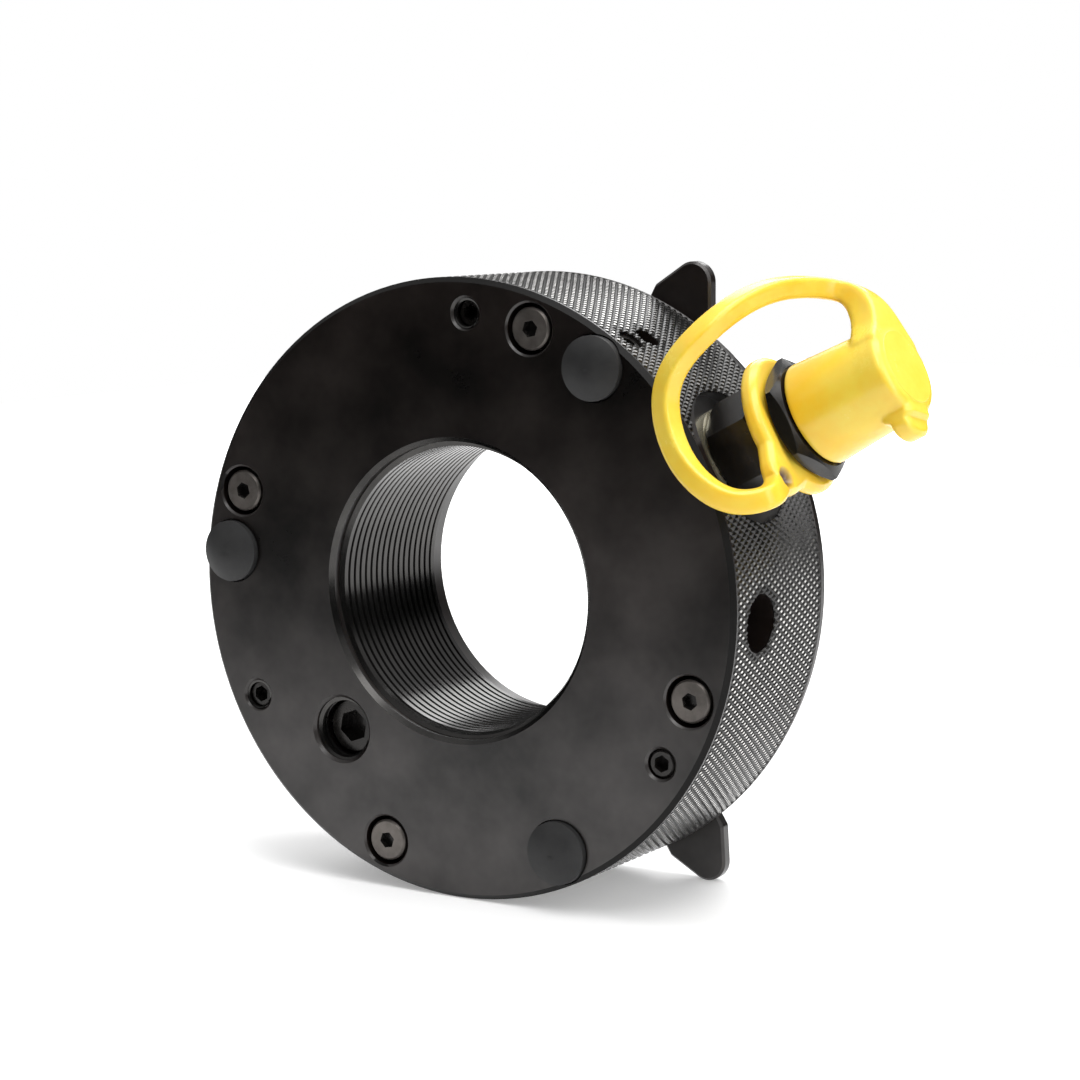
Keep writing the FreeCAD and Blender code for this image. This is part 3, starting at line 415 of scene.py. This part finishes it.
TO_REAR = (0, 1, 0)
inner_thread("bore_thread", (0, FRONT + 1.5, 0), TO_REAR, BORE_R - 0.03, BORE_R - 1.1, 2.0, 36.4, THREAD,
             steps=144)
inner_thread("front_port_thread", face_point(FRONT_PORT_R, FRONT_PORT_ANGLE, FRONT + 0.5), TO_REAR,
             6.55, 5.75, 1.337, 3.85, THREAD)
for number, (angle, sunk) in enumerate(FACE_SCREWS):
    if sunk > 1:
        inner_thread("face_hole_thread_%d" % (number + 1), face_point(PITCH_R, angle, FRONT + 0.1), TO_REAR,
                     2.98, 2.55, 0.9 if sunk > 1.5 else 0.55, sunk - 0.1, THREAD, steps=36)
inner_thread("side_hole_thread", face_point(NUT_R - 0.3, RIM_SCREW_ANGLE, RIM_SCREW_AT[0]),
             face_point(-1, RIM_SCREW_ANGLE, 0), RIM_SCREW_R - 0.12, RIM_SCREW_R - 0.5, 0.8, 2.6, THREAD,
             steps=36)


# Strap, ring and cap

RING_MID = 73.5
CAP_WEB_MID = 98.5
CAP_TOP = 100.5
ON_CAP = 90.0
TAB_ANGLE = math.radians(165.0)
TAB_ROOT = 9.4
TAB_HALF = 6.0
LUG_ROOT = 17.0
TONGUE_ROOT = 9.3
TONGUE_ANGLE = -12
STRAP_EXIT = math.radians(TONGUE_ANGLE)
STRAP_START = 14.5
STRAP_FINISH = 4.0
STRAP_TURN = -0.27
STRAP_WIDTH = 4.4
STRAP_THK = 4.0
DIMPLE_R = 2.1
DIMPLE_DEPTH = 1.4
# Places along the coupling from the ring, up the rim and to the front
STRAP_ROUTE = (
    (0.0, -10.6, 15.2), (-0.2, -12.2, 19.6), (-4.2, -11.2, 22.6), (-9.3, -4.8, 25.1), (-11.4, 4.85, 24.3),
    (-7.6, 14.7, 23.9), (1.95, 20.2, 21.7), (9.7, 23.3, 12.7), (15.0, 22.7, 2.8), (19.7, 19.0, -4.8),
    (24.6, 13.2, -2.8), (25.0, 8.8, -1.9),
)


def spline(points, count):
    """Natural cubic spline through points, spaced by chord length."""
    p = np.array(points, float)
    chord = np.linalg.norm(np.diff(p, axis=0), axis=1)
    t = np.concatenate([[0], np.cumsum(chord)])
    h = np.diff(t)
    n = len(p)
    a = np.zeros((n, n))
    b = np.zeros((n, 3))
    a[0, 0] = a[-1, -1] = 1
    for i in range(1, n - 1):
        a[i, i - 1], a[i, i], a[i, i + 1] = h[i - 1], 2 * (h[i - 1] + h[i]), h[i]
        b[i] = 6 * ((p[i + 1] - p[i]) / h[i] - (p[i] - p[i - 1]) / h[i - 1])
    m = np.linalg.solve(a, b)
    out = []
    for x in np.linspace(t[0], t[-1], count):
        i = min(int(np.searchsorted(t, x, side="right")) - 1, n - 2)
        l, r = t[i + 1] - x, x - t[i]
        out.append(m[i] * l ** 3 / (6 * h[i]) + m[i + 1] * r ** 3 / (6 * h[i])
                   + (p[i] / h[i] - m[i] * h[i] / 6) * l + (p[i + 1] / h[i] - m[i + 1] * h[i] / 6) * r)
    return np.array(out)


def rounded_section(width, thick, corner, per_corner=5):
    section = []
    for cx, cy, start in ((1, 1, 0), (-1, 1, 90), (-1, -1, 180), (1, -1, 270)):
        for k in range(per_corner + 1):
            a = math.radians(start + 90 * k / per_corner)
            section.append((cx * (width / 2 - corner) + corner * math.cos(a),
                            cy * (thick / 2 - corner) + corner * math.sin(a)))
    return section


def ease(x):
    x = max(0.0, min(1.0, float(x)))
    return x * x * (3 - 2 * x)


def strap():
    """Points and faces of the strap, run a little way into the lug and the cap's tongue."""
    leave = np.array((math.cos(LUG_ANGLE), math.sin(LUG_ANGLE), 0))
    arrive = np.array((-math.cos(STRAP_EXIT), -math.sin(STRAP_EXIT), 0))
    start = leave * STRAP_START + (0, 0, RING_MID)
    finish = -arrive * STRAP_FINISH + (0, 0, CAP_WEB_MID - 0.05)
    line = spline([start] + [(v, w, RING_MID + s) for s, v, w in STRAP_ROUTE] + [finish], 120)
    along = np.gradient(line, axis=0)
    along /= np.linalg.norm(along, axis=1)[:, None]
    along[0], along[-1] = leave, arrive
    across = [Vector((0, 0, 1)).cross(Vector(leave)).normalized()]
    for here, there in zip(along, along[1:]):
        across.append(Vector(here).rotation_difference(Vector(there)) @ across[-1])
    end = Vector(along[-1])
    goal = Vector((0, 0, 1)).cross(end).normalized()
    twist = math.atan2(end.dot(across[-1].cross(goal)), across[-1].dot(goal))
    twist = (twist + math.pi / 2) % math.pi - math.pi / 2
    verts, faces = [], []
    last = len(line) - 1
    run = np.concatenate([[0], np.cumsum(np.linalg.norm(np.diff(line, axis=0), axis=1))])
    for i, (c, t) in enumerate(zip(line, along)):
        turned = twist * i / last + STRAP_TURN * math.sin(math.pi * i / last)
        wide = Matrix.Rotation(turned, 3, Vector(t)) @ across[i]
        thick = Vector(t).cross(wide).normalized()
        lug = ease(1 - run[i] / 10)
        near = max(0, 20 - math.hypot(c[0], c[1])) if i > last / 2 else 0
        crown = ease((near + 1) / 7)
        width = min(16, STRAP_WIDTH + 0.6 * lug + 0.06 * near ** 2)
        section = rounded_section(width, STRAP_THK - 0.3 * lug, 0.7 + 0.3 * crown + 0.6 * lug)
        for a, b in section:
            b = b if b > 0 else b * (1 + 1.1 * crown)
            verts.append(port_point(*(Vector(c) + wide * a + thick * b)))
    n = len(section)
    for i in range(last):
        for j in range(n):
            k = (j + 1) % n
            faces.append([i * n + j, i * n + k, (i + 1) * n + k, (i + 1) * n + j])
    faces.append(list(range(n)))
    faces.append([last * n + j for j in reversed(range(n))])
    return verts, faces


def drawn_in(point):
    """Shortens the lug and the tongue, whose outer part the strap itself takes over."""
    off = Vector(point) - PORT_ORIGIN
    v, w, u = off @ UP, off @ TO_FRONT, off @ OUT
    angle, root, keep = (STRAP_EXIT, TONGUE_ROOT, 0.15) if u > 85 else (LUG_ANGLE, LUG_ROOT, 0.4)
    out = v * math.cos(angle) + w * math.sin(angle)
    aside = v * math.sin(angle) - w * math.cos(angle)
    if out > root and abs(aside) < 6.5:
        out = root + (out - root) * keep
        v = out * math.cos(angle) + aside * math.sin(angle)
        w = out * math.sin(angle) - aside * math.cos(angle)
    return port_point(v, w, u)


def moulding():
    """Ring, strap and cap as the one moulding they are, blended at their roots, cut where they bend."""
    verts, faces = strap()
    for node in ("cap_ring", "dust_cap"):
        obj = frame["nodes"][node]
        first = len(verts)
        verts += [drawn_in(obj.matrix_world @ v.co / MM) for v in obj.data.vertices]
        faces += [[first + k for k in poly.vertices] for poly in obj.data.polygons]
    raw = mesh_object("raw_moulding", verts, faces, YELLOW)
    remesh = raw.modifiers.new("voxels", "REMESH")
    remesh.mode = "VOXEL"
    remesh.voxel_size = 0.28 * MM
    soften = raw.modifiers.new("soften", "SMOOTH")
    soften.factor = 0.5
    soften.iterations = 14
    bpy.context.view_layer.update()
    whole = bpy.data.meshes.new_from_object(raw.evaluated_get(bpy.context.evaluated_depsgraph_get()))
    bpy.data.objects.remove(raw)

    co = np.array([v.co for v in whole.vertices]) / MM
    offset = co - np.array(PORT_ORIGIN)
    up, to_front, outwards = np.array(UP), np.array(TO_FRONT), np.array(OUT)
    v, w, u = offset @ up, offset @ to_front, offset @ outwards
    rho = np.hypot(v, w)
    # The pull tab sits a little below the crown and is short
    tab = np.array((math.cos(TAB_ANGLE), math.sin(TAB_ANGLE)))
    out = v * tab[0] + w * tab[1]
    on_tab = (u > ON_CAP) * (np.abs(v * tab[1] - w * tab[0]) < TAB_HALF)
    beyond = np.clip((out - TAB_ROOT) / 1.6, 0, 1) * on_tab
    beyond = beyond * beyond * (3 - 2 * beyond)
    co -= np.outer(np.clip(out - TAB_ROOT, 0, 9) * 0.28 * on_tab, up * tab[0] + to_front * tab[1])
    co -= np.outer(beyond * (1.0 - 0.34 * (CAP_TOP - u)), outwards)
    # The soft ring hangs a little high on the neck
    lift = 0.9 * np.clip((v - 5) / 8, 0, 1) * (np.abs(u - RING_MID) < 2.6) * (rho < 15)
    co += np.outer(lift, up)
    # A round dimple in the outward face of the lug
    spot = np.hypot(v - DIMPLE_OFF * math.cos(LUG_ANGLE), w - DIMPLE_OFF * math.sin(LUG_ANGLE)) / DIMPLE_R
    sunk = np.clip(1 - spot * spot, 0, 1) * (u > RING_MID) * (u < RING_MID + 3)
    co -= np.outer(DIMPLE_DEPTH * sunk, outwards)
    whole.vertices.foreach_set("co", (co * MM).ravel())
    whole.update()
    normals = np.array([v.normal for v in whole.vertices])
    # The strap runs from where it leaves the lug to where it meets the cap
    turn = np.degrees(np.arctan2(w, v))
    tongue = np.abs(turn - TONGUE_ANGLE) < 60
    cap = (u > 78.0) & (rho < 11.6) | (u > 92.5) & (rho < np.where(tongue, 13.6, 17.0))
    ring = (rho < 18.6) & (np.abs(u - RING_MID) < 3.0)
    group = np.where(cap, 2, np.where(ring, 0, 1))
    polys = [list(f.vertices) for f in whole.polygons]
    owner = [max(set(group[f]), key=lambda g: list(group[f]).count(g)) for f in polys]
    made = []
    for number, name in enumerate(("moulded_ring", "moulded_strap", "moulded_cap")):
        mine = [f for f, g in zip(polys, owner) if g == number]
        used = sorted({k for f in mine for k in f})
        place = {k: i for i, k in enumerate(used)}
        faces = [[place[k] for k in f] for f in mine]
        obj = mesh_object(name, [co[k] for k in used], faces, YELLOW, smooth=True)
        obj.data.normals_split_custom_set_from_vertices([tuple(normals[k]) for k in used])
        made.append(obj)
    bpy.data.meshes.remove(whole)
    return made


soft_ring, soft_strap, soft_cap = moulding()
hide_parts("cap_ring")
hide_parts("cap_strap")
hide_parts("dust_cap")
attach(soft_ring, "ring_body")
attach(soft_cap, "cap_body")
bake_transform(soft_strap)


def port_disc(name, profile, material, body, steps=96):
    """Turned piece about the port's axis, from (radius, station) points."""
    verts, faces = [], []
    n = len(profile)
    for i in range(steps):
        a = 2 * math.pi * i / steps
        for r, u in profile:
            verts.append(port_point(r * math.cos(a), r * math.sin(a), u))
    for i in range(steps):
        for j in range(n - 1):
            k = (i + 1) % steps
            faces.append([i * n + j, k * n + j, k * n + j + 1, i * n + j + 1])
    return mesh_object(name, verts, faces, material, body)


DISC_R = 7.6
DISC_TOP = CAP_TOP + 0.22
disc_profile = ((0.001, DISC_TOP), (DISC_R - 0.25, DISC_TOP), (DISC_R, CAP_TOP + 0.02),
                (DISC_R, CAP_TOP - 0.6))
port_disc("cap_end_disc", disc_profile, YELLOW, "cap_body")


def coil(node, name):
    """Spring copied from the model's mesh with smooth shading, in place of the original."""
    source = frame["nodes"][node]
    points = [source.matrix_world @ v.co / MM for v in source.data.vertices]
    obj = mesh_object(name, points, [list(f.vertices) for f in source.data.polygons], STEEL, smooth=True)
    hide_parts(node)
    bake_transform(obj)


coil("return_springs", "return_coils")
coil("poppet_spring", "poppet_coil")


# Stage, light and camera

def floor():
    """Pale floor that glows a little more with distance, so that it meets the white behind it, and glows to
    glossy rays as a painted reflection.
    """
    z = -NUT_R
    verts = [(-900, -235, z), (900, -235, z), (900, 1500, z), (-900, 1500, z)]
    mat, nodes, links, shader = new_material("pale_floor")
    shader.inputs["Roughness"].default_value = 0.6
    noise = nodes.new("ShaderNodeTexNoise")
    noise.inputs["Scale"].default_value = 40
    stops = [(0.3, (0.80, 0.80, 0.80)), (0.7, (0.84, 0.84, 0.84))]
    links.new(ramp_from(nodes, links, noise.outputs["Fac"], stops), shader.inputs["Base Color"])
    glow = nodes.new("ShaderNodeEmission")
    path = nodes.new("ShaderNodeLightPath")
    apart = nodes.new("ShaderNodeSeparateXYZ")
    links.new(nodes.new("ShaderNodeTexCoord").outputs["Object"], apart.inputs[0])
    far = nodes.new("ShaderNodeMapRange")
    far.inputs["From Min"].default_value = 0.12
    far.inputs["From Max"].default_value = 0.8
    far.inputs["To Min"].default_value = 0.27
    far.inputs["To Max"].default_value = 1.1
    links.new(apart.outputs["Y"], far.inputs["Value"])
    gain = nodes.new("ShaderNodeMath")
    gain.operation = "MULTIPLY"
    links.new(path.outputs["Is Camera Ray"], gain.inputs[0])
    links.new(far.outputs[0], gain.inputs[1])
    # Painted reflection: the floor glows to glossy rays, so it shows bright in the nut's glossy faces
    sheen = nodes.new("ShaderNodeMath")
    sheen.operation = "MULTIPLY_ADD"
    sheen.inputs[1].default_value = 0.55
    links.new(path.outputs["Is Glossy Ray"], sheen.inputs[0])
    links.new(gain.outputs[0], sheen.inputs[2])
    links.new(sheen.outputs[0], glow.inputs["Strength"])
    both = nodes.new("ShaderNodeAddShader")
    links.new(shader.outputs[0], both.inputs[0])
    links.new(glow.outputs[0], both.inputs[1])
    links.new(both.outputs[0], nodes["Material Output"].inputs["Surface"])
    obj = mesh_object("floor", verts, [[0, 1, 2, 3]], mat)


floor()


def world():
    """White to the camera. To the object: dark round the horizon and bright above."""
    w = bpy.data.worlds.new("studio")
    bpy.context.scene.world = w
    w.use_nodes = True
    nodes, links = w.node_tree.nodes, w.node_tree.links
    soft = nodes["Background"]
    split = nodes.new("ShaderNodeSeparateXYZ")
    links.new(nodes.new("ShaderNodeTexCoord").outputs["Generated"], split.inputs[0])
    height = nodes.new("ShaderNodeMapRange")
    height.inputs["From Min"].default_value = -1
    links.new(split.outputs["Z"], height.inputs["Value"])
    greys = ((0.48, 0.02), (0.50, 0.008), (0.63, 0.012), (0.72, 0.75), (1.0, 0.9))
    stops = [(at, (grey, grey, grey)) for at, grey in greys]
    links.new(ramp_from(nodes, links, height.outputs[0], stops), soft.inputs["Color"])
    soft.inputs["Strength"].default_value = 0.8
    white = nodes.new("ShaderNodeBackground")
    white.inputs["Color"].default_value = (1, 1, 1, 1)
    white.inputs["Strength"].default_value = 1.0
    path = nodes.new("ShaderNodeLightPath")
    mix = nodes.new("ShaderNodeMixShader")
    links.new(path.outputs["Is Camera Ray"], mix.inputs[0])
    links.new(soft.outputs[0], mix.inputs[1])
    links.new(white.outputs[0], mix.inputs[2])
    links.new(mix.outputs[0], nodes["World Output"].inputs["Surface"])


world()


def softbox(name, at, aim_at, width, height, power):
    data = bpy.data.lights.new(name, "AREA")
    data.shape = "RECTANGLE"
    data.size = width
    data.size_y = height
    data.energy = power
    obj = bpy.data.objects.new(name, data)
    bpy.context.scene.collection.objects.link(obj)
    obj.location = at
    obj.rotation_euler = (Vector(aim_at) - Vector(at)).to_track_quat("-Z", "Y").to_euler()


softbox("top_light", (0.15, 0.1, 0.9), (0, 0, 0), 0.8, 0.8, 9)
softbox("high_front_light", (0.32, -0.36, 0.62), (0, 0, 0), 0.3, 0.3, 1.4)
softbox("right_light", (0.9, -0.22, 0.38), (0, 0, 0), 0.35, 0.8, 3.6)
softbox("back_light", (-0.4, 0.9, 0.75), (0, 0, 0), 0.7, 0.6, 5)


def camera():
    turn, tip = -0.54514645, 0.13032362
    ca, sa, cb, sb = math.cos(turn), math.sin(turn), math.cos(tip), math.sin(tip)
    right = Vector((ca, -sa, 0))
    above = Vector((sb * sa, sb * ca, cb))
    back = Vector((-cb * sa, -cb * ca, sb))
    data = bpy.data.cameras.new("camera")
    data.sensor_width = 36
    data.lens = 94.25
    data.clip_start = 0.05
    data.clip_end = 20
    obj = bpy.data.objects.new("camera", data)
    bpy.context.scene.collection.objects.link(obj)
    turned = Matrix((right, above, back)).transposed().to_4x4()
    obj.matrix_world = Matrix.Translation((0.30327, -0.48681, 0.08341)) @ turned
    bpy.context.scene.camera = obj


camera()
bpy.context.scene.view_settings.view_transform = "Standard"
